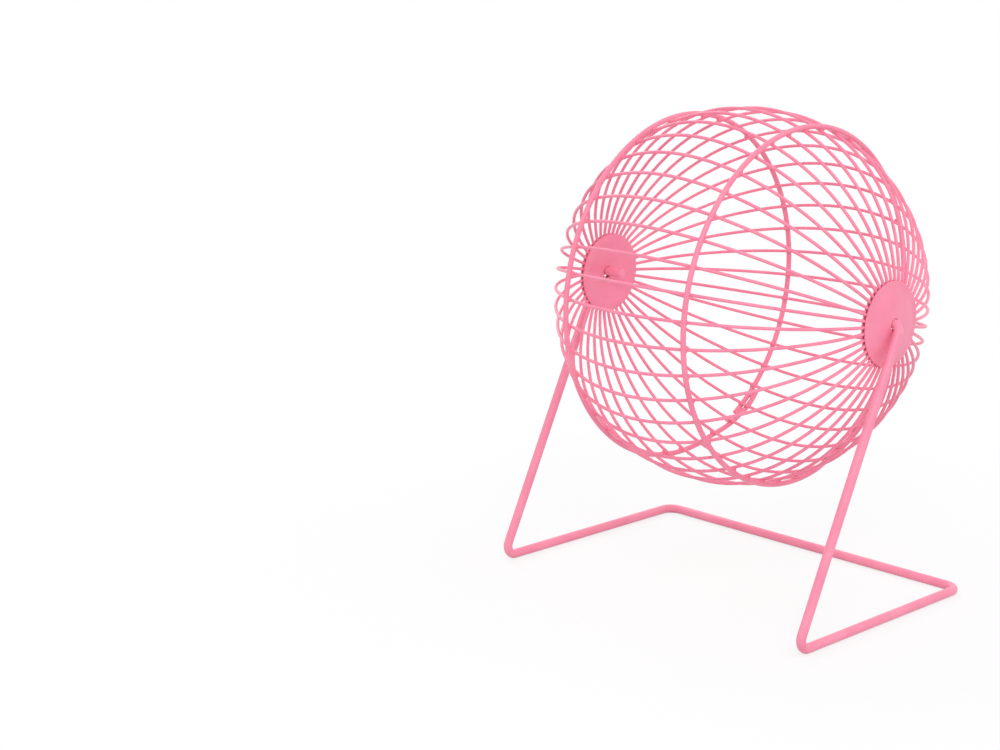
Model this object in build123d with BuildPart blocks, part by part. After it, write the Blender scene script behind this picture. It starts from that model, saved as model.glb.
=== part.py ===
from build123d import *
import os
from math import ceil, cos, floor, pi, radians, sin, sqrt

# A ball-shaped wire exercise wheel on a stand bent from one steel rod.
# Frame: the floor is Z = 0, the axle runs along Y, and the legs slope from the axle
# down to the front, which is -X. The origin is on the floor under the wheel's centre.

# Stock: rod, wire and sheet, with their paint
rod_diameter = 5.3
hoop_wire = 3.0
rib_wire = 1.8
sheet_thickness = 0.8

# Ball: its ribs bulge from hub to hub, and two hoops hold them from outside
wheel_height = 167.2
rib_count = 42
rib_phase = 6.0
ball_radius = 106.8
crown_bend_radius = 100.5
hoop_offset = 42.0
hub_offset = 101.0
rib_grip = 3.7
rib_lead_in = 1.5
hoop_lap = 20.0
hoop_lap_ramp = 30.0
hoop_lap_gap = 0.05
hoop_joint_angles = {"left": 302.0, "right": 298.0}

# Hub discs: pressings with a flat rim, a dished middle and a plain bore
disc_diameter = 47.0
disc_rim_width = 4.0
disc_dish = 2.4
disc_flat = 1.5
bore_diameter = 7.0
axle_seat_gap = 0.05

# Stand: a U base on the floor, two sloping legs and two stub axles
leg_clearance = 0.8
foot_reach = 78.0
back_reach = 75.5
axle_protrusion = 12.0
axle_end_chamfer = 0.5
axle_bend_radius = 5.0
foot_bend_radius = 6.0
back_bend_radius = 8.0

# Facets: round stock is drawn with flat sides, and bent wire as short straight lengths
rod_sides = 12
rib_sides = 6
hoop_sides = 8
crown_steps = 4
shoulder_steps = 5

# Sizes of the ball, the discs and the stand that follow from those above
crown_centre = ball_radius - crown_bend_radius
contact_radius = crown_bend_radius + (rib_wire + hoop_wire) / 2
hoop_sine = hoop_offset / contact_radius
hoop_cosine = sqrt(1 - hoop_sine**2)
hoop_radius = crown_centre + contact_radius * hoop_cosine
rib_pitch = 360 / rib_count
disc_radius = disc_diameter / 2
disc_face = hub_offset + rib_wire / 2
disc_reach = disc_face + sheet_thickness + disc_dish
disc_spacing = sheet_thickness + rib_wire
rod_corner_radius = rod_diameter / 2 / cos(pi / rod_sides)
axle_height = wheel_height + bore_diameter / 2 - rod_corner_radius - axle_seat_gap
leg_offset = disc_reach + leg_clearance + rod_diameter / 2
axle_end = disc_reach - sheet_thickness - disc_spacing - axle_protrusion
hands = {"right": -1, "left": 1}

os.makedirs("parts", exist_ok=True)


def save(piece: Part, name: str) -> None:
    """Label a finished piece and write its STEP file."""
    piece.label = name
    export_step(piece, f"parts/{name}.step")


def meridian_plane(angle: float) -> Plane:
    """A plane through the axle: its X runs along the axle, its Y points out at the angle."""
    turn = radians(angle)
    return Plane((0, 0, wheel_height), x_dir=(0, 1, 0), z_dir=(sin(turn), 0, -cos(turn)))


def rib_outline() -> list[tuple[float, float]]:
    """Points along a rib, from its end in one hub to its end in the other."""
    with BuildLine(mode=Mode.PRIVATE):
        edge = crown_bend_radius * hoop_sine
        height = crown_centre + crown_bend_radius * hoop_cosine
        crown = ThreePointArc((edge, height), (0, ball_radius), (-edge, height))
        disc_edge = (hub_offset, disc_radius + rib_lead_in)
        shoulder = TangentArc((edge, height), disc_edge, tangent=-(crown % 0))
    shoulder_points = [shoulder @ (step / shoulder_steps) for step in range(shoulder_steps, 0, -1)]
    crown_points = [crown @ (step / crown_steps) for step in range(crown_steps + 1)]
    one_end = [(hub_offset, disc_radius - rib_grip)] + [(point.X, point.Y) for point in shoulder_points]
    other_end = [(-along, out) for along, out in reversed(one_end)]
    return one_end + [(point.X, point.Y) for point in crown_points] + other_end


def hoop_point(hand: int, angle: float, slide: float) -> Vector:
    """A point on a hoop's centre line, slid along the ribs towards the ball's middle."""
    lean = slide / contact_radius
    along = contact_radius * (hoop_sine * cos(lean) - hoop_cosine * sin(lean))
    out = crown_centre + contact_radius * (hoop_cosine * cos(lean) + hoop_sine * sin(lean))
    off_rib = (angle - rib_phase + rib_pitch / 2) % rib_pitch - rib_pitch / 2
    out /= cos(radians(off_rib))
    return Vector(out * cos(radians(angle)), hand * along, wheel_height + out * sin(radians(angle)))


def hoop_points(hand: int, start: float) -> list[Vector]:
    """A hoop's route: flat across each rib, ending beside its own start to make the lap."""
    lap = degrees_along_hoop(hoop_lap)
    ramp = degrees_along_hoop(hoop_lap_ramp)
    end = start + 360 + lap
    first = ceil((start - rib_phase) / rib_pitch - 0.5)
    last = floor((end - rib_phase) / rib_pitch - 0.5)
    corners = [rib_phase + rib_pitch * (number + 0.5) for number in range(first, last + 1)]
    full_slide = hoop_wire + hoop_lap_gap
    points = []
    for angle in [start, *corners, end]:
        share = (angle - start - 360 + ramp) / ramp
        points.append(hoop_point(hand, angle, full_slide * min(max(share, 0), 1)))
    return points


def degrees_along_hoop(length: float) -> float:
    """The angle at the axle of a length of hoop wire."""
    return 180 * length / (pi * hoop_radius)


# Ribs: one bent wire each, its ends held flat between the discs of both hubs
rib_points = rib_outline()
for number in range(rib_count):
    plane = meridian_plane(rib_phase + rib_pitch * number)
    with BuildPart() as rib:
        with BuildLine(plane) as route:
            Polyline(*rib_points)
        with BuildSketch(Plane(route.line @ 0, x_dir=plane.z_dir, z_dir=route.line % 0)):
            RegularPolygon(rib_wire / 2, rib_sides, major_radius=False)
        sweep(transition=Transition.RIGHT)
    save(rib.part, f"rib_{number + 1:02d}")

# Hoops: a heavier wire outside the ribs, its two ends lapped side by side and welded
for side, hand in hands.items():
    start = hoop_joint_angles[side]
    out_of_ball = meridian_plane(start).y_dir * hoop_cosine + Vector(0, hand * hoop_sine, 0)
    with BuildPart() as hoop:
        with BuildLine() as route:
            Polyline(*hoop_points(hand, start))
        with BuildSketch(Plane(route.line @ 0, x_dir=out_of_ball, z_dir=route.line % 0)):
            RegularPolygon(hoop_wire / 2, hoop_sides, major_radius=False, rotation=180 / hoop_sides)
        sweep(transition=Transition.RIGHT)
    save(hoop.part, f"hoop_{side}")

# Hub discs: two alike pressings nest on each side and clamp the rib ends between their rims.
# Each is its section carried round its rim, with one flat over each rib.
dish_radius = disc_radius - disc_rim_width
flat_radius = bore_diameter / 2 + disc_flat
pilot_radius = bore_diameter / 2 - sheet_thickness
disc_section = [
    (disc_face, disc_radius),
    (disc_face, dish_radius),
    (disc_face + disc_dish, flat_radius),
    (disc_face + disc_dish, pilot_radius),
    (disc_reach, pilot_radius),
    (disc_reach, flat_radius),
    (disc_face + sheet_thickness, dish_radius),
    (disc_face + sheet_thickness, disc_radius),
]
for side, hand in hands.items():
    rim_centre = Vector(0, hand * disc_face, wheel_height)
    corner_radius = disc_radius / cos(radians(rib_pitch / 2))
    rim_start = rim_centre + meridian_plane(rib_phase).y_dir * disc_radius
    rim_corners = []
    for number in range(rib_count):
        outwards = meridian_plane(rib_phase + rib_pitch * (number + 0.5)).y_dir
        rim_corners.append(rim_centre + outwards * corner_radius)
    with BuildPart() as outer_disc:
        with BuildLine():
            Polyline(rim_start, *rim_corners, close=True)
        with BuildSketch(meridian_plane(rib_phase)):
            with BuildLine():
                Polyline([(hand * along, out) for along, out in disc_section], close=True)
            make_face()
        sweep(transition=Transition.RIGHT)
        with Locations(Plane(rim_centre, x_dir=(1, 0, 0), z_dir=(0, hand, 0))):
            Hole(bore_diameter / 2)
    save(outer_disc.part, f"outer_disc_{side}")
    with BuildPart() as inner_disc:
        with Locations((0, -hand * disc_spacing, 0)):
            add(outer_disc.part)
    save(inner_disc.part, f"inner_disc_{side}")

# Stand: one rod, bent into stub axle, leg, base and back up again on the other side
floor_line = rod_diameter / 2
bend_radii = [axle_bend_radius, foot_bend_radius, back_bend_radius]
half_route = [
    Vector(0, -axle_end, axle_height),
    Vector(0, -leg_offset, axle_height),
    Vector(-foot_reach, -leg_offset, floor_line),
    Vector(back_reach, -leg_offset, floor_line),
]
other_half = [Vector(point.X, -point.Y, point.Z) for point in reversed(half_route)]
leg_front = (half_route[2] - half_route[1]).cross(Vector(0, 1, 0))
with BuildPart() as stand_rod:
    with BuildLine() as route:
        FilletPolyline(*half_route, *other_half, radius=bend_radii + bend_radii[::-1])
    with BuildSketch(Plane(route.line @ 0, x_dir=leg_front, z_dir=route.line % 0)):
        RegularPolygon(rod_diameter / 2, rod_sides, major_radius=False, rotation=180 / rod_sides)
    sweep()
    axle_ends = stand_rod.faces().filter_by(Axis.Y).group_by(Axis.Z)[-1]
    chamfer(axle_ends.edges(), axle_end_chamfer)
save(stand_rod.part, "stand_rod")
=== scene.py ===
"""A ball-shaped rodent exercise wheel on a stand bent from one steel rod.

Everything is in metres. The floor is Z = 0, the axle runs along Y through the ball's
centre, and the legs slope from the axle down towards -X. Each wire is bent from its
first end to its last, as a bending machine would, and each disc is pressed ring by ring.
"""

import logging
import math
import random
from dataclasses import dataclass
from enum import Enum

import bpy
from mathutils import Matrix, Vector


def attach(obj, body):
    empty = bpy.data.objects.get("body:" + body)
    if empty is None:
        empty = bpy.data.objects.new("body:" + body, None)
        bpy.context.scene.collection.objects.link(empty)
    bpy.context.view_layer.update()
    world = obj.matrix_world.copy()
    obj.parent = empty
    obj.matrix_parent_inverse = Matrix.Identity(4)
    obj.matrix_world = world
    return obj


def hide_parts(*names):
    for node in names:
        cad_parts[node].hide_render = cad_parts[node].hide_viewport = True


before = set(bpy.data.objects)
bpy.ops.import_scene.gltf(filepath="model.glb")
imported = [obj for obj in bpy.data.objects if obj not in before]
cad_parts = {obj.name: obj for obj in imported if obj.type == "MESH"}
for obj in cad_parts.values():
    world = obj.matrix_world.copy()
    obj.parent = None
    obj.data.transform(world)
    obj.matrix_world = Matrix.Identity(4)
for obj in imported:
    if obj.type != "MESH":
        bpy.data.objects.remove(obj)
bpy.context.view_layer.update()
log = logging.getLogger("exercise_wheel")

MM = 0.001
AXLE = Vector((0.0, 1.0, 0.0))
UP = Vector((0.0, 0.0, 1.0))
WHEEL_CENTRE = Vector((0.0, 0.0, 167.2 * MM))
RIB_COUNT = 42
RIB_PITCH = 2 * math.pi / RIB_COUNT
FIRST_RIB = math.radians(6.0)
DISC_RADIUS = 23.5 * MM
ROUNDING_SEGMENTS = 3
# Degrees above which a corner stays an edge
SHARP_CORNER = 50.0


class Side(Enum):
    """The two sides of the wheel, with the sign of Y that each lies on."""

    RIGHT = -1
    LEFT = 1

    @property
    def label(self) -> str:
        """The side's name as the frame's nodes spell it."""
        return self.name.lower()


class Slot(Enum):
    """The record's material slots."""

    STAND = "stand_paint"
    WIRE = "wire_paint"
    DISC = "disc_paint"


def radial(angle: float) -> Vector:
    """The direction from the axle outwards at an angle, turned from +X towards +Z.

    Args:
        angle: The angle in radians.

    Returns:
        A unit vector square to the axle.
    """
    return Vector((math.cos(angle), 0.0, math.sin(angle)))


def tangent(angle: float) -> Vector:
    """The direction in which a point at an angle moves as the angle grows.

    Args:
        angle: The angle in radians.

    Returns:
        A unit vector square to the axle and to the radial direction.
    """
    return Vector((-math.sin(angle), 0.0, math.cos(angle)))


def deselect() -> None:
    """Leaves object mode ready for a new piece, with nothing selected."""
    if bpy.context.object and bpy.context.object.mode != "OBJECT":
        bpy.ops.object.mode_set(mode="OBJECT")
    bpy.ops.object.select_all(action="DESELECT")


def pick(piece: bpy.types.Object) -> None:
    """Selects one object and makes it the active one.

    Args:
        piece: The object to work on next.
    """
    deselect()
    piece.select_set(True)
    bpy.context.view_layer.objects.active = piece


def duplicate(piece: bpy.types.Object, name: str) -> bpy.types.Object:
    """Copies an object with a mesh of its own.

    Args:
        piece: The object to copy.
        name: The copy's name.

    Returns:
        The copy, selected and active.
    """
    pick(piece)
    bpy.ops.object.duplicate(linked=False)
    copy = bpy.context.object
    copy.name = name
    copy.data.name = name
    return copy


def settle(piece: bpy.types.Object) -> None:
    """Puts an object's place, turn and size into its mesh, so that it sits at the origin.

    Args:
        piece: The object to settle.
    """
    pick(piece)
    bpy.ops.object.transform_apply(location=True, rotation=True, scale=True)


def turn_about_axle(piece: bpy.types.Object, angle: float) -> None:
    """Turns a piece about the axle, from +X towards +Z.

    Args:
        piece: The piece to turn.
        angle: The angle in radians.
    """
    around = Matrix.Translation(WHEEL_CENTRE)
    turn = around @ Matrix.Rotation(-angle, 4, AXLE) @ around.inverted()
    piece.matrix_world = turn @ piece.matrix_world
    settle(piece)


def apply_modifiers(piece: bpy.types.Object) -> None:
    """Applies every modifier of an object, in order.

    Args:
        piece: The object whose modifiers become its mesh.
    """
    pick(piece)
    for modifier in list(piece.modifiers):
        bpy.ops.object.modifier_apply(modifier=modifier.name)


def smooth(piece: bpy.types.Object, sharpest: float) -> None:
    """Shades an object smooth, apart from edges sharper than an angle.

    Args:
        piece: The object to shade.
        sharpest: The angle in degrees above which an edge stays sharp.
    """
    pick(piece)
    bpy.ops.object.shade_smooth_by_angle(angle=math.radians(sharpest))


def deliver(
    piece: bpy.types.Object, body: str, slot: Slot, paint: bpy.types.Material, *nodes: str
) -> None:
    """Paints a finished piece and hangs it on its body in place of the nodes it stands for.

    Args:
        piece: The finished piece.
        body: The body that carries it.
        slot: The record's slot for its finish; not used.
        paint: Its material.
        nodes: The frame's nodes that it replaces.
    """
    piece.data.materials.clear()
    piece.data.materials.append(paint)
    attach(piece, body)
    if nodes:
        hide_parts(*nodes)
    log.info("%s: %d faces on %s", piece.name, len(piece.data.polygons), body)


@dataclass(frozen=True)
class PowderCoat:
    """A baked powder coat: an even soft gloss over a faint orange peel."""

    name: str
    colour: tuple[float, float, float]
    deep: tuple[float, float, float]
    # A paler pink painted on sharp convex edges as a highlight
    highlight_colour: tuple[float, float, float]
    roughness: float = 0.34
    roughness_swing: float = 0.06
    specular: float = 0.3
    coat_weight: float = 0.08
    coat_roughness: float = 0.18
    tone_scale: float = 70.0
    tone_detail: float = 4.0
    deep_until: float = 0.35
    colour_from: float = 0.62
    # Where pointiness starts and ends the painted edge highlight, and how much of it is mixed in
    highlight_from: float = 0.56
    highlight_to: float = 0.66
    highlight_share: float = 0.35
    peel_scale: float = 1500.0
    peel_detail: float = 1.0
    peel_height: float = 0.05 * MM
    peel_strength: float = 0.35

    def material(self) -> bpy.types.Material:
        """Builds the paint's nodes.

        Returns:
            The material, which reads object coordinates only.
        """
        paint = bpy.data.materials.new(self.name)
        paint.use_nodes = True
        tree = paint.node_tree
        inputs = tree.nodes["Principled BSDF"].inputs
        inputs["Specular IOR Level"].default_value = self.specular
        inputs["Coat Weight"].default_value = self.coat_weight
        inputs["Coat Roughness"].default_value = self.coat_roughness
        tone = self.noise(tree, self.tone_scale, self.tone_detail)
        tree.links.new(self.tint(tree, tone), inputs["Base Color"])
        tree.links.new(self.gloss(tree, tone), inputs["Roughness"])
        tree.links.new(self.peel(tree), inputs["Normal"])
        return paint

    def noise(self, tree: bpy.types.NodeTree, scale: float, detail: float) -> bpy.types.NodeSocket:
        """Adds a noise over the object's own coordinates.

        Args:
            tree: The material's node tree.
            scale: The noise's scale.
            detail: How many finer layers it has.

        Returns:
            The noise's value.
        """
        noise = tree.nodes.new("ShaderNodeTexNoise")
        noise.inputs["Scale"].default_value = scale
        noise.inputs["Detail"].default_value = detail
        place = tree.nodes.new("ShaderNodeTexCoord").outputs["Object"]
        tree.links.new(place, noise.inputs["Vector"])
        return noise.outputs["Fac"]

    def tint(
        self, tree: bpy.types.NodeTree, tone: bpy.types.NodeSocket
    ) -> bpy.types.NodeSocket:
        """Adds the colour, which drifts a little and pales on sharp edges as a painted edge
        highlight.

        Args:
            tree: The material's node tree.
            tone: The slow drift.

        Returns:
            The colour.
        """
        shade = tree.nodes.new("ShaderNodeValToRGB")
        dark, full = shade.color_ramp.elements
        dark.position, dark.color = self.deep_until, (*self.deep, 1.0)
        full.position, full.color = self.colour_from, (*self.colour, 1.0)
        tree.links.new(tone, shade.inputs["Fac"])
        # Painted edge highlight: where pointiness marks a sharp convex edge, a paler pink is mixed
        # in
        edge = tree.nodes.new("ShaderNodeMapRange")
        edge.inputs["From Min"].default_value = self.highlight_from
        edge.inputs["From Max"].default_value = self.highlight_to
        edge.inputs["To Max"].default_value = self.highlight_share
        pointiness = tree.nodes.new("ShaderNodeNewGeometry").outputs["Pointiness"]
        tree.links.new(pointiness, edge.inputs["Value"])
        painted_highlight = tree.nodes.new("ShaderNodeMix")
        painted_highlight.data_type = "RGBA"
        painted_highlight.inputs["B"].default_value = (*self.highlight_colour, 1.0)
        tree.links.new(edge.outputs["Result"], painted_highlight.inputs["Factor"])
        tree.links.new(shade.outputs["Color"], painted_highlight.inputs["A"])
        return painted_highlight.outputs["Result"]

    def gloss(
        self, tree: bpy.types.NodeTree, tone: bpy.types.NodeSocket
    ) -> bpy.types.NodeSocket:
        """Adds the roughness, which drifts with the colour.

        Args:
            tree: The material's node tree.
            tone: The slow drift.

        Returns:
            The roughness.
        """
        matt = tree.nodes.new("ShaderNodeMapRange")
        matt.inputs["To Min"].default_value = self.roughness - self.roughness_swing
        matt.inputs["To Max"].default_value = self.roughness + self.roughness_swing
        tree.links.new(tone, matt.inputs["Value"])
        return matt.outputs["Result"]

    def peel(self, tree: bpy.types.NodeTree) -> bpy.types.NodeSocket:
        """Adds the orange peel of baked powder.

        Args:
            tree: The material's node tree.

        Returns:
            The bumped normal.
        """
        bump = tree.nodes.new("ShaderNodeBump")
        bump.inputs["Strength"].default_value = self.peel_strength
        bump.inputs["Distance"].default_value = self.peel_height
        height = self.noise(tree, self.peel_scale, self.peel_detail)
        tree.links.new(height, bump.inputs["Height"])
        return bump.outputs["Normal"]


WIRE_COAT = PowderCoat(
    "wire_powder_coat",
    colour=(0.96, 0.28, 0.41),
    deep=(0.91, 0.24, 0.37),
    highlight_colour=(0.98, 0.38, 0.50),
)
DISC_COAT = PowderCoat(
    "disc_powder_coat",
    colour=(0.95, 0.28, 0.415),
    deep=(0.92, 0.255, 0.385),
    highlight_colour=(0.98, 0.40, 0.52),
)
STAND_COAT = PowderCoat(
    "stand_powder_coat",
    colour=(0.96, 0.305, 0.435),
    deep=(0.92, 0.27, 0.40),
    highlight_colour=(0.98, 0.40, 0.52),
)


class Bender:
    """Bends one round wire, from its first end to its last."""

    def __init__(
        self, name: str, radius: float, sides: int, start: Vector, heading: Vector
    ) -> None:
        """Cuts the wire's first end, which stays selected in edit mode.

        Args:
            name: The wire's name.
            radius: The wire's radius.
            sides: How many sides its section is drawn with.
            start: The middle of its first end.
            heading: The direction in which the wire is fed.
        """
        deselect()
        self.position = start.copy()
        self.heading = heading.normalized()
        facing = self.heading.to_track_quat("Z", "Y").to_euler()
        bpy.ops.mesh.primitive_circle_add(
            vertices=sides, radius=radius, location=start, rotation=facing
        )
        self.wire = bpy.context.object
        self.wire.name = name
        self.wire.data.name = name
        bpy.ops.object.transform_apply(location=True, rotation=True, scale=True)
        bpy.ops.object.mode_set(mode="EDIT")
        bpy.ops.mesh.select_mode(type="EDGE")
        bpy.ops.mesh.select_all(action="SELECT")

    def straight(self, length: float) -> None:
        """Feeds the wire straight on.

        Args:
            length: How far to feed it.
        """
        move = self.heading * length
        bpy.ops.mesh.extrude_edges_move(TRANSFORM_OT_translate={"value": move})
        self.position += move

    def arc(self, radius: float, turn: float, axis: Vector, steps: int) -> None:
        """Bends the wire round an axis that is square to its heading.

        Args:
            radius: The bend's radius at the wire's middle.
            turn: The angle turned, in radians.
            axis: The axis, by the right-hand rule.
            steps: How many short lengths draw the bend.
        """
        centre = self.position + axis.cross(self.heading) * radius
        bpy.ops.mesh.spin(steps=steps, angle=-turn, center=centre, axis=axis)
        rotation = Matrix.Rotation(turn, 3, axis)
        self.position = centre + rotation @ (self.position - centre)
        self.heading = rotation @ self.heading

    def nudge(self, move: Vector) -> None:
        """Shifts the wire's newest end sideways.

        Args:
            move: The shift.
        """
        bpy.ops.transform.translate(value=move)
        self.position += move

    def follow(self, route: list[Vector], radii: list[float], degrees_a_step: float) -> None:
        """Feeds the wire from corner to corner, with a bend at each but the last.

        Args:
            route: Where the wire's straight runs would meet, and its far end.
            radii: The bend's radius at each corner but the last.
            degrees_a_step: The angle that one short length of a bend turns.
        """
        for corner, after, radius in zip(route, route[1:], radii):
            onwards = (after - corner).normalized()
            turn = self.heading.angle(onwards)
            self.straight((corner - self.position).length - radius * math.tan(turn / 2))
            axis = self.heading.cross(onwards).normalized()
            self.arc(radius, turn, axis, math.ceil(math.degrees(turn) / degrees_a_step))
        self.straight((route[-1] - self.position).length)

    def finish(self, rounding: float) -> bpy.types.Object:
        """Closes both ends, rounds their edges and shades the wire.

        Args:
            rounding: The width of the rounding round each end.

        Returns:
            The finished wire.
        """
        bpy.ops.mesh.select_all(action="DESELECT")
        bpy.ops.mesh.select_non_manifold(
            extend=False,
            use_wire=False,
            use_multi_face=False,
            use_non_contiguous=False,
            use_verts=False,
        )
        bpy.ops.mesh.fill_holes(sides=0)
        bpy.ops.mesh.bevel(offset=rounding, segments=ROUNDING_SEGMENTS, affect="EDGES")
        bpy.ops.mesh.select_all(action="SELECT")
        bpy.ops.mesh.normals_make_consistent(inside=False)
        bpy.ops.object.mode_set(mode="OBJECT")
        smooth(self.wire, SHARP_CORNER)
        return self.wire


@dataclass
class BallCage:
    """The ball's ribs and hoops, and the welds that join them."""

    rib_radius: float = 0.9 * MM
    hoop_wire_radius: float = 1.5 * MM
    ball_radius: float = 106.8 * MM
    crown_radius: float = 100.5 * MM
    hoop_offset: float = 42.0 * MM
    hub_offset: float = 101.0 * MM
    rib_grip: float = 3.7 * MM
    rib_lead_in: float = 1.5 * MM
    rim_bend_radius: float = 8.0 * MM
    lap_length: float = 20.0 * MM
    ramp_length: float = 30.0 * MM
    lap_gap: float = 0.05 * MM
    lap_bow: float = 0.7 * MM
    left_joint: float = math.radians(302.0)
    right_joint: float = math.radians(298.0)
    weld_width: float = 3.1 * MM
    weld_height: float = 1.5 * MM
    weld_edge_share: float = 0.2
    weld_sharpest: float = 180.0
    weld_least: float = 0.88
    weld_most: float = 1.12
    weld_stray: float = 0.15 * MM
    lap_weld_length: float = 5.5 * MM
    # A lap weld's rise as a scale, its lift as a share of the hoop wire's radius, and its
    # inset from the wire's end as a share of its own length
    lap_weld_rise: float = 1.7
    lap_weld_lift: float = 0.1
    lap_weld_inset: float = 0.45
    wire_sides: int = 16
    hoop_sides: int = 20
    rim_steps: int = 4
    shoulder_steps: int = 16
    crown_steps: int = 14
    hoop_steps: int = 120
    ramp_steps: int = 12
    lap_steps: int = 8
    end_rounding: float = 0.25 * MM
    seed: int = 42

    @property
    def crown_centre(self) -> float:
        """How far from the axle the crown's bend is centred."""
        return self.ball_radius - self.crown_radius

    @property
    def contact_radius(self) -> float:
        """The distance from the crown's centre to a hoop's middle."""
        return self.crown_radius + self.rib_radius + self.hoop_wire_radius

    @property
    def hoop_lean(self) -> float:
        """The angle at the crown's centre from the ball's middle to a hoop."""
        return math.asin(self.hoop_offset / self.contact_radius)

    @property
    def hoop_radius(self) -> float:
        """The radius of a hoop at its wire's middle."""
        return self.crown_centre + self.contact_radius * math.cos(self.hoop_lean)

    @property
    def shoulder_radius(self) -> float:
        """The radius of the arc from a hoop to a disc's edge that leaves the crown smoothly."""
        lean = self.hoop_lean
        edge_along = self.crown_radius * math.sin(lean)
        edge_out = self.crown_centre + self.crown_radius * math.cos(lean)
        along = self.hub_offset - edge_along
        out = DISC_RADIUS + self.rib_lead_in - edge_out
        deflection = -math.atan2(out, along) - lean
        return math.hypot(along, out) / (2 * math.sin(deflection))

    def bend_rib(self) -> bpy.types.Object:
        """Bends the first rib in the plane of +X: grip, rim bend, shoulder, crown and back.

        Returns:
            The rib, at the angle of the first one.
        """
        radius = self.shoulder_radius
        lean = self.hoop_lean
        shoulder_out = self.crown_centre + (self.crown_radius - radius) * math.cos(lean)
        shoulder_along = (self.crown_radius - radius) * math.sin(lean)
        bend_along = self.hub_offset - self.rim_bend_radius
        reach = radius - self.rim_bend_radius
        bend_out = shoulder_out + math.sqrt(reach**2 - (bend_along - shoulder_along) ** 2)
        rim_turn = math.atan2(bend_out - shoulder_out, bend_along - shoulder_along)
        start_out = DISC_RADIUS - self.rib_grip
        start = WHEEL_CENTRE + Vector((start_out, -self.hub_offset, 0.0))
        heading = Vector((1.0, 0.0, 0.0))
        wire = Bender("wire_rib_01", self.rib_radius, self.wire_sides, start, heading)
        grip = bend_out - start_out
        rest_turn = math.pi / 2 - lean - rim_turn
        wire.straight(grip)
        wire.arc(self.rim_bend_radius, rim_turn, UP, self.rim_steps)
        wire.arc(radius, rest_turn, UP, self.shoulder_steps)
        wire.arc(self.crown_radius, 2 * lean, UP, self.crown_steps)
        wire.arc(radius, rest_turn, UP, self.shoulder_steps)
        wire.arc(self.rim_bend_radius, rim_turn, UP, self.rim_steps)
        wire.straight(grip)
        rib = wire.finish(self.end_rounding)
        turn_about_axle(rib, FIRST_RIB)
        return rib

    def bend_hoop(self, side: Side, joint: float) -> bpy.types.Object:
        """Rolls a hoop round the ribs and lays its last end beside its first.

        Args:
            side: The side of the ball.
            joint: The angle of the hoop's first end.

        Returns:
            The hoop.
        """
        axis = -AXLE
        outwards = AXLE * side.value
        start = WHEEL_CENTRE + radial(joint) * self.hoop_radius + outwards * self.hoop_offset
        name = f"wire_hoop_{side.label}"
        wire = Bender(name, self.hoop_wire_radius, self.hoop_sides, start, tangent(joint))
        ramp = self.ramp_length / self.hoop_radius
        lap = self.lap_length / self.hoop_radius
        wire.arc(self.hoop_radius, 2 * math.pi - ramp, axis, self.hoop_steps)
        full = 2 * self.hoop_wire_radius + self.lap_gap
        route = []
        for step in range(1, self.ramp_steps + 1):
            rise = (1 - math.cos(math.pi * step / self.ramp_steps)) / 2
            route.append((ramp / self.ramp_steps, full * rise))
        for step in range(1, self.lap_steps + 1):
            bow = self.lap_bow * math.sin(math.pi * step / self.lap_steps)
            route.append((lap / self.lap_steps, full + bow))
        angle, slide = joint - ramp, 0.0
        for turn, wanted in route:
            out = (wire.position - WHEEL_CENTRE).dot(radial(angle))
            wire.heading = tangent(angle)
            wire.arc(out, turn, axis, 1)
            angle += turn
            lean = self.hoop_lean - (slide + wanted) / 2 / self.contact_radius
            sideways = radial(angle) * math.sin(lean) - outwards * math.cos(lean)
            wire.nudge(sideways * (wanted - slide))
            slide = wanted
        return wire.finish(self.end_rounding)

    def cast_weld(self) -> bpy.types.Object:
        """Makes one weld: a cushion that fills the corners where a rib crosses a hoop.

        Returns:
            The weld, at the origin, with X along the hoop, Y along the rib and Z outwards.
        """
        deselect()
        bpy.ops.mesh.primitive_cube_add(size=self.weld_width)
        weld = bpy.context.object
        bpy.ops.object.mode_set(mode="EDIT")
        bpy.ops.mesh.select_all(action="SELECT")
        bpy.ops.transform.resize(value=(1.0, 1.0, self.weld_height / self.weld_width))
        bpy.ops.mesh.subdivide(number_cuts=1)
        edge = self.weld_height * self.weld_edge_share
        bpy.ops.mesh.bevel(offset=edge, segments=1, affect="EDGES")
        bpy.ops.object.mode_set(mode="OBJECT")
        rounder = weld.modifiers.new("round", "SUBSURF")
        rounder.levels = rounder.render_levels = 1
        apply_modifiers(weld)
        smooth(weld, self.weld_sharpest)
        return weld

    def set_weld(
        self,
        weld: bpy.types.Object,
        side: Side,
        spot: tuple[float, float, float],
        size: tuple[float, float, float],
        stray: tuple[float, float] = (0.0, 0.0),
    ) -> None:
        """Sizes and turns a copied weld and sets it on the ball.

        Args:
            weld: The copy to set.
            side: The side of the ball.
            spot: Its angle round the axle, its lean from the ball's middle at the
                crown's centre, and how far from that centre it lies.
            size: Its scale along the hoop, along the rib and outwards.
            stray: How far it lies off the spot, along the hoop and along the rib.
        """
        angle, lean, reach = spot
        out = self.crown_centre + reach * math.cos(lean)
        along = reach * math.sin(lean) * side.value
        outwards = radial(angle) * math.cos(lean) + AXLE * side.value * math.sin(lean)
        hoop_way = tangent(angle)
        rib_way = outwards.cross(hoop_way)
        centre = WHEEL_CENTRE + radial(angle) * out + AXLE * along
        centre += hoop_way * stray[0] + rib_way * stray[1]
        turned = Matrix((hoop_way, rib_way, outwards)).transposed().to_4x4()
        weld.matrix_world = Matrix.Translation(centre) @ turned @ Matrix.Diagonal((*size, 1.0))
        settle(weld)

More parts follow.
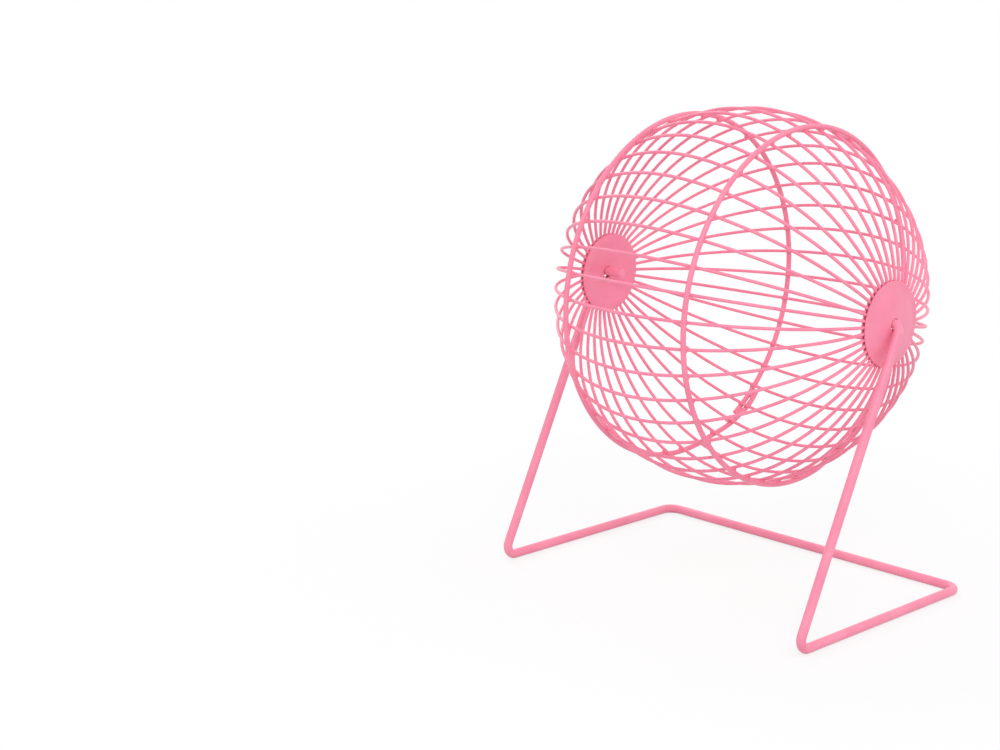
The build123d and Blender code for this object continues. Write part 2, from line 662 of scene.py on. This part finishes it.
    def weld_lap(self, side: Side, master: bpy.types.Object, angle: float) -> bpy.types.Object:
        """Lays one long bead where the hoop's two ends lie side by side.

        Args:
            side: The side of the ball.
            master: The weld to copy.
            angle: Where round the hoop the bead lies.

        Returns:
            The bead.
        """
        lean = self.hoop_lean - self.hoop_wire_radius / self.contact_radius
        reach = self.contact_radius + self.hoop_wire_radius * self.lap_weld_lift
        bead = duplicate(master, f"lap_weld_{side.label}_{round(math.degrees(angle))}")
        size = (self.lap_weld_length / self.weld_width, 1.0, self.lap_weld_rise)
        self.set_weld(bead, side, (angle, lean, reach), size)
        return bead

    def weld_hoop(
        self, side: Side, joint: float, master: bpy.types.Object, dice: random.Random
    ) -> bpy.types.Object:
        """Sets a weld at every crossing of one hoop, and two at its lap, and joins them.

        Args:
            side: The side of the ball.
            joint: The angle of the hoop's first end.
            master: The weld to copy.
            dice: The source of the welds' small differences.

        Returns:
            All of the hoop's welds.
        """
        seat = self.crown_radius + self.rib_radius
        inset = self.lap_weld_length * self.lap_weld_inset / self.hoop_radius
        lap = self.lap_length / self.hoop_radius
        welds = [self.weld_lap(side, master, joint + end) for end in (inset, lap - inset)]
        for number in range(RIB_COUNT):
            weld = duplicate(master, f"weld_{side.label}_{number + 1:02d}")
            size = tuple(dice.uniform(self.weld_least, self.weld_most) for _ in range(3))
            stray = tuple(dice.uniform(-self.weld_stray, self.weld_stray) for _ in range(2))
            angle = FIRST_RIB + RIB_PITCH * number
            self.set_weld(weld, side, (angle, self.hoop_lean, seat), size, stray)
            welds.append(weld)
        deselect()
        for weld in welds:
            weld.select_set(True)
        bpy.context.view_layer.objects.active = welds[0]
        bpy.ops.object.join()
        welds[0].name = f"welds_{side.label}"
        return welds[0]

    def build(self, paint: bpy.types.Material) -> None:
        """Makes the cage's wires and welds and hangs them on the wheel.

        Args:
            paint: The wires' paint.
        """
        first = self.bend_rib()
        ribs = [first]
        for number in range(1, RIB_COUNT):
            rib = duplicate(first, f"wire_rib_{number + 1:02d}")
            turn_about_axle(rib, RIB_PITCH * number)
            ribs.append(rib)
        for number, rib in enumerate(ribs, 1):
            deliver(rib, "wheel", Slot.WIRE, paint, f"rib_{number:02d}")
        dice = random.Random(self.seed)
        master = self.cast_weld()
        for side, joint in ((Side.LEFT, self.left_joint), (Side.RIGHT, self.right_joint)):
            hoop = self.bend_hoop(side, joint)
            deliver(hoop, "wheel", Slot.WIRE, paint, f"hoop_{side.label}")
            deliver(self.weld_hoop(side, joint, master, dice), "wheel", Slot.WIRE, paint)
        bpy.data.objects.remove(master)


@dataclass
class HubDisc:
    """The pressed discs that clamp the ribs' ends, two nested on each side."""

    rim_width: float = 4.0 * MM
    dish: float = 2.4 * MM
    bore_radius: float = 3.38 * MM
    lip_width: float = 0.7 * MM
    lip_height: float = 0.2 * MM
    sheet: float = 0.8 * MM
    face_offset: float = 101.9 * MM
    spacing: float = 2.6 * MM
    crease: float = 0.45 * MM
    pinch: float = 0.4 * MM
    edge_rounding: float = 0.22 * MM
    sharpest: float = 60.0
    points_a_rib: int = 4
    dome_steps: int = 9
    # Where the middle rings lie, as shares of the crease and of the lip's width and height
    crease_middle: float = 0.4
    lip_middle: tuple[float, float] = (0.4, 0.35)
    # Rings of the rim by their inset, and points by their share of the way from a rib to
    # the next, each with its share of the pinch
    rim_pinch: tuple[tuple[float, float], ...] = (
        (0.0 * MM, 1.0),
        (0.8 * MM, 0.8),
        (1.6 * MM, 0.5),
        (2.4 * MM, 0.2),
    )
    pitch_pinch: tuple[tuple[float, float], ...] = ((0.5, 1.0), (0.25, 0.5))
    ring_slack: float = 0.1 * MM
    pitch_slack: float = 0.1

    def rings(self) -> list[tuple[float, float]]:
        """The pressing's inner face, from rim to bore, as radius and height.

        Returns:
            The rings to draw it through.
        """
        dome = DISC_RADIUS - self.rim_width
        lip = self.bore_radius + self.lip_width
        rings = [(DISC_RADIUS - inset, 0.0) for inset, _ in self.rim_pinch]
        rings.append((dome + self.crease, 0.0))
        rings.append((dome + self.crease * self.crease_middle, 0.0))
        for step in range(self.dome_steps + 1):
            share = step / self.dome_steps
            out = (dome - self.crease) * (1 - share) + lip * share
            rings.append((out, self.dish * (1 - (out / dome) ** 2)))
        top = rings[-1][1]
        lip_along, lip_up = self.lip_middle
        middle = self.bore_radius + self.lip_width * lip_along
        rings.append((middle, top + self.lip_height * lip_up))
        rings.append((self.bore_radius, top + self.lip_height))
        return rings

    def on_ring(self, point: Vector, inset: float, place: float) -> bool:
        """Tells whether a point lies on one ring of the rim, at one place between ribs.

        Args:
            point: The point.
            inset: The ring's distance from the rim's edge.
            place: The share of the way from the nearest rib to the next.

        Returns:
            Whether it lies there.
        """
        arm = point - WHEEL_CENTRE
        part = (math.atan2(arm.z, arm.x) - FIRST_RIB) / RIB_PITCH % 1.0
        off_place = min(part, 1.0 - part) - place
        off_ring = math.hypot(arm.x, arm.z) - DISC_RADIUS + inset
        return abs(off_place) < self.pitch_slack and abs(off_ring) < self.ring_slack

    def pinch_rim(self, disc: bpy.types.Object, move: float) -> None:
        """Draws the rim towards its mate between the ribs, as clamping does.

        Args:
            disc: The disc, before its sheet gets its thickness.
            move: How far the rim's edge moves along the axle.
        """
        for inset, ring_share in self.rim_pinch:
            for place, place_share in self.pitch_pinch:
                pick(disc)
                bpy.ops.object.mode_set(mode="EDIT")
                bpy.ops.mesh.select_mode(type="VERT")
                bpy.ops.mesh.select_all(action="DESELECT")
                bpy.ops.object.mode_set(mode="OBJECT")
                for vertex in disc.data.vertices:
                    vertex.select = self.on_ring(vertex.co, inset, place)
                bpy.ops.object.mode_set(mode="EDIT")
                bpy.ops.transform.translate(value=AXLE * move * ring_share * place_share)
                bpy.ops.object.mode_set(mode="OBJECT")

    def press(self, name: str, offset: float, pinch: float) -> bpy.types.Object:
        """Presses one right-hand disc: rings drawn inwards, then given the sheet's thickness.

        Args:
            name: The disc's name.
            offset: How far along the axle its rim's inner face lies from the ball's middle.
            pinch: How far its rim is drawn along the axle between the ribs.

        Returns:
            The disc.
        """
        deselect()
        rings = self.rings()
        centre = WHEEL_CENTRE - AXLE * offset
        facing = (-AXLE).to_track_quat("Z", "X").to_euler()
        sides = RIB_COUNT * self.points_a_rib
        bpy.ops.mesh.primitive_circle_add(
            vertices=sides, radius=DISC_RADIUS, location=centre, rotation=facing
        )
        disc = bpy.context.object
        disc.name = name
        settle(disc)
        first = disc.data.vertices[0].co - WHEEL_CENTRE
        turn_about_axle(disc, FIRST_RIB - math.atan2(first.z, first.x))
        bpy.ops.object.mode_set(mode="EDIT")
        bpy.ops.mesh.select_mode(type="EDGE")
        bpy.ops.mesh.select_all(action="SELECT")
        for before, after in zip(rings, rings[1:]):
            share = after[0] / before[0]
            rise = -AXLE * (after[1] - before[1])
            bpy.ops.mesh.extrude_edges_move(TRANSFORM_OT_translate={"value": rise})
            bpy.ops.transform.resize(value=(share, 1.0, share), center_override=WHEEL_CENTRE)
        bpy.ops.mesh.select_all(action="SELECT")
        bpy.ops.mesh.normals_make_consistent(inside=False)
        bpy.ops.object.mode_set(mode="OBJECT")
        if disc.data.polygons[0].normal.y > 0:
            bpy.ops.object.mode_set(mode="EDIT")
            bpy.ops.mesh.flip_normals()
            bpy.ops.object.mode_set(mode="OBJECT")
        self.pinch_rim(disc, pinch)
        wall = disc.modifiers.new("wall", "SOLIDIFY")
        wall.thickness = self.sheet
        wall.offset = 1.0
        wall.use_even_offset = True
        edges = disc.modifiers.new("edges", "BEVEL")
        edges.width = self.edge_rounding
        edges.segments = ROUNDING_SEGMENTS
        edges.limit_method = "ANGLE"
        edges.angle_limit = math.radians(SHARP_CORNER)
        apply_modifiers(disc)
        smooth(disc, self.sharpest)
        return disc

    def mirror(self, master: bpy.types.Object, name: str) -> bpy.types.Object:
        """Copies a right-hand disc to the left-hand hub.

        Args:
            master: The right-hand disc.
            name: The copy's name.

        Returns:
            The copy, with its faces turned outwards again.
        """
        disc = duplicate(master, name)
        disc.matrix_world = Matrix.Scale(-1.0, 4, AXLE) @ disc.matrix_world
        settle(disc)
        bpy.ops.object.mode_set(mode="EDIT")
        bpy.ops.mesh.select_all(action="SELECT")
        bpy.ops.mesh.normals_make_consistent(inside=False)
        bpy.ops.object.mode_set(mode="OBJECT")
        return disc

    def build(self, paint: bpy.types.Material) -> None:
        """Makes the four discs and hangs them on the wheel.

        Args:
            paint: The discs' paint.
        """
        outer = self.press("pressed_outer_disc_right", self.face_offset, self.pinch)
        nested = self.face_offset - self.spacing
        inner = self.press("pressed_inner_disc_right", nested, -self.pinch)
        for master, layer in ((outer, "outer"), (inner, "inner")):
            copy = self.mirror(master, f"pressed_{layer}_disc_left")
            deliver(master, "wheel", Slot.DISC, paint, f"{layer}_disc_right")
            deliver(copy, "wheel", Slot.DISC, paint, f"{layer}_disc_left")


@dataclass
class Stand:
    """One rod bent into both stub axles, both legs and the base."""

    rod_radius: float = 2.65 * MM
    axle_end: float = 89.7 * MM
    axle_height: float = 167.9065 * MM
    leg_offset: float = 108.55 * MM
    foot_reach: float = 78.0 * MM
    back_reach: float = 75.5 * MM
    axle_bend: float = 5.0 * MM
    foot_bend: float = 6.0 * MM
    back_bend: float = 8.0 * MM
    end_rounding: float = 0.5 * MM
    sides: int = 32
    degrees_a_step: float = 6.0

    def build(self, paint: bpy.types.Material) -> None:
        """Bends the rod and sets it in the stand's body.

        Args:
            paint: The rod's paint.
        """
        half = [
            Vector((0.0, -self.axle_end, self.axle_height)),
            Vector((0.0, -self.leg_offset, self.axle_height)),
            Vector((-self.foot_reach, -self.leg_offset, self.rod_radius)),
            Vector((self.back_reach, -self.leg_offset, self.rod_radius)),
        ]
        route = half + [Vector((point.x, -point.y, point.z)) for point in reversed(half)]
        bends = [self.axle_bend, self.foot_bend, self.back_bend]
        heading = route[1] - route[0]
        rod = Bender("bent_stand_rod", self.rod_radius, self.sides, route[0], heading)
        rod.follow(route[1:], bends + bends[::-1], self.degrees_a_step)
        deliver(rod.finish(self.end_rounding), "stand", Slot.STAND, paint, "stand_rod")


def seen_directly(tree: bpy.types.NodeTree) -> bpy.types.NodeSocket:
    """Adds a test for rays that look straight at, or reflect, what is lit.

    Args:
        tree: The node tree.

    Returns:
        A socket that is 1 for camera, glossy and transmission rays.
    """
    path = tree.nodes.new("ShaderNodeLightPath")
    seen = path.outputs["Is Camera Ray"]
    for kind in ("Is Glossy Ray", "Is Transmission Ray"):
        either = tree.nodes.new("ShaderNodeMath")
        either.operation = "MAXIMUM"
        tree.links.new(seen, either.inputs[0])
        tree.links.new(path.outputs[kind], either.inputs[1])
        seen = either.outputs["Value"]
    return seen


@dataclass(frozen=True)
class Softbox:
    """One large soft lamp of the studio."""

    name: str
    place: tuple[float, float, float]
    width: float
    watts: float
    aim: tuple[float, float, float] = (0.0, 0.0, 0.13)

    def hang(self) -> None:
        """Adds the lamp and turns it to its aim."""
        data = bpy.data.lights.new(self.name, "AREA")
        data.shape = "SQUARE"
        data.size = self.width
        data.energy = self.watts
        lamp = bpy.data.objects.new(self.name, data)
        bpy.context.scene.collection.objects.link(lamp)
        lamp.location = self.place
        beam = Vector(self.aim) - Vector(self.place)
        lamp.rotation_euler = beam.to_track_quat("-Z", "Y").to_euler()


@dataclass
class Studio:
    """The floor, the lamps, the white surround and the camera."""

    lamps: tuple[Softbox, ...] = (
        Softbox("key", (-1.05, -0.95, 1.25), width=0.7, watts=8.4),
        Softbox("fill", (0.9, -1.3, 0.9), width=1.0, watts=1.5),
        Softbox("back", (0.5, 1.4, 1.1), width=0.9, watts=6.0),
    )
    target: tuple[float, float, float] = (-0.123243, 0.069332, 0.127946)
    distance: float = 1.136203
    azimuth: float = -0.78807
    elevation: float = 0.22849
    roll: float = 0.01672
    lens: float = 73.67
    sensor: float = 36.0
    nearest: float = 0.01
    floor_size: float = 12.0
    floor_colour: tuple[float, float, float] = (0.88, 0.88, 0.88)
    bounce_colour: tuple[float, float, float] = (0.74, 0.74, 0.74)
    floor_glow: float = 0.74
    shadow_reach: float = 0.15
    fade_reach: float = 0.5
    horizon_light: float = 0.74
    overhead_light: float = 0.92

    def set_camera(self) -> None:
        """Stands the camera where the photograph was taken from."""
        data = bpy.data.cameras.new("camera")
        data.lens = self.lens
        data.sensor_width = self.sensor
        camera = bpy.data.objects.new("camera", data)
        bpy.context.scene.collection.objects.link(camera)
        level = math.cos(self.elevation)
        sideways, forwards = math.sin(self.azimuth) * level, -math.cos(self.azimuth) * level
        back = Vector((sideways, forwards, math.sin(self.elevation)))
        right = UP.cross(back).normalized()
        over = back.cross(right)
        turned = Matrix((right, over, back)).transposed().to_4x4()
        place = Matrix.Translation(Vector(self.target) + back * self.distance)
        camera.matrix_world = place @ turned @ Matrix.Rotation(self.roll, 4, "Z")
        data.clip_start = self.nearest
        bpy.context.scene.camera = camera

    def lay_floor(self) -> None:
        """Lays the pale floor, which looks nearly white and keeps the wheel's shadow."""
        deselect()
        bpy.ops.mesh.primitive_plane_add(size=self.floor_size)
        floor = bpy.context.object
        floor.name = "floor"
        floor.data.materials.append(self.floor_paper())

    def floor_paper(self) -> bpy.types.Material:
        """Builds matt paper that glows to white away from the shadow.

        Returns:
            The material.
        """
        paper = bpy.data.materials.new("floor_paper")
        paper.use_nodes = True
        nodes, links = paper.node_tree.nodes, paper.node_tree.links
        nodes.remove(nodes["Principled BSDF"])
        tone = nodes.new("ShaderNodeMix")
        tone.data_type = "RGBA"
        tone.inputs["A"].default_value = (*self.bounce_colour, 1.0)
        tone.inputs["B"].default_value = (*self.floor_colour, 1.0)
        links.new(seen_directly(paper.node_tree), tone.inputs["Factor"])
        matt = nodes.new("ShaderNodeBsdfDiffuse")
        links.new(tone.outputs["Result"], matt.inputs["Color"])

        reach = nodes.new("ShaderNodeVectorMath")
        reach.operation = "LENGTH"
        links.new(nodes.new("ShaderNodeTexCoord").outputs["Object"], reach.inputs[0])
        fade = nodes.new("ShaderNodeMapRange")
        fade.interpolation_type = "SMOOTHSTEP"
        fade.inputs["From Min"].default_value = self.shadow_reach
        fade.inputs["From Max"].default_value = self.fade_reach
        fade.inputs["To Min"].default_value = self.floor_glow
        links.new(reach.outputs["Value"], fade.inputs["Value"])
        share = nodes.new("ShaderNodeMath")
        share.operation = "MULTIPLY"
        links.new(seen_directly(paper.node_tree), share.inputs[0])
        links.new(fade.outputs["Result"], share.inputs[1])

        glow = nodes.new("ShaderNodeEmission")
        blend = nodes.new("ShaderNodeMixShader")
        links.new(share.outputs["Value"], blend.inputs["Fac"])
        links.new(matt.outputs["BSDF"], blend.inputs[1])
        links.new(glow.outputs["Emission"], blend.inputs[2])
        links.new(blend.outputs["Shader"], nodes["Material Output"].inputs["Surface"])
        return paper

    def fill_surround(self) -> None:
        """Makes the world white to look at, and lights the wheel softly from overhead."""
        world = bpy.data.worlds.new("surround")
        bpy.context.scene.world = world
        world.use_nodes = True
        nodes, links = world.node_tree.nodes, world.node_tree.links
        height = nodes.new("ShaderNodeSeparateXYZ")
        links.new(nodes.new("ShaderNodeTexCoord").outputs["Generated"], height.inputs["Vector"])
        sky = nodes.new("ShaderNodeMapRange")
        sky.inputs["To Min"].default_value = self.horizon_light
        sky.inputs["To Max"].default_value = self.overhead_light
        links.new(height.outputs["Z"], sky.inputs["Value"])
        strength = nodes.new("ShaderNodeMapRange")
        strength.inputs["To Max"].default_value = 1.0
        links.new(sky.outputs["Result"], strength.inputs["To Min"])
        links.new(seen_directly(world.node_tree), strength.inputs["Value"])
        background = nodes["Background"]
        background.inputs["Color"].default_value = (1.0, 1.0, 1.0, 1.0)
        links.new(strength.outputs["Result"], background.inputs["Strength"])

    def build(self) -> None:
        """Sets up everything that isn't part of the wheel."""
        bpy.context.scene.view_settings.view_transform = "Standard"
        self.set_camera()
        self.lay_floor()
        self.fill_surround()
        for lamp in self.lamps:
            lamp.hang()


def main() -> None:
    """Builds the wheel and its studio."""
    logging.basicConfig(level=logging.INFO, format="%(message)s")
    Stand().build(STAND_COAT.material())
    BallCage().build(WIRE_COAT.material())
    HubDisc().build(DISC_COAT.material())
    Studio().build()


if __name__ == "__main__":
    main()
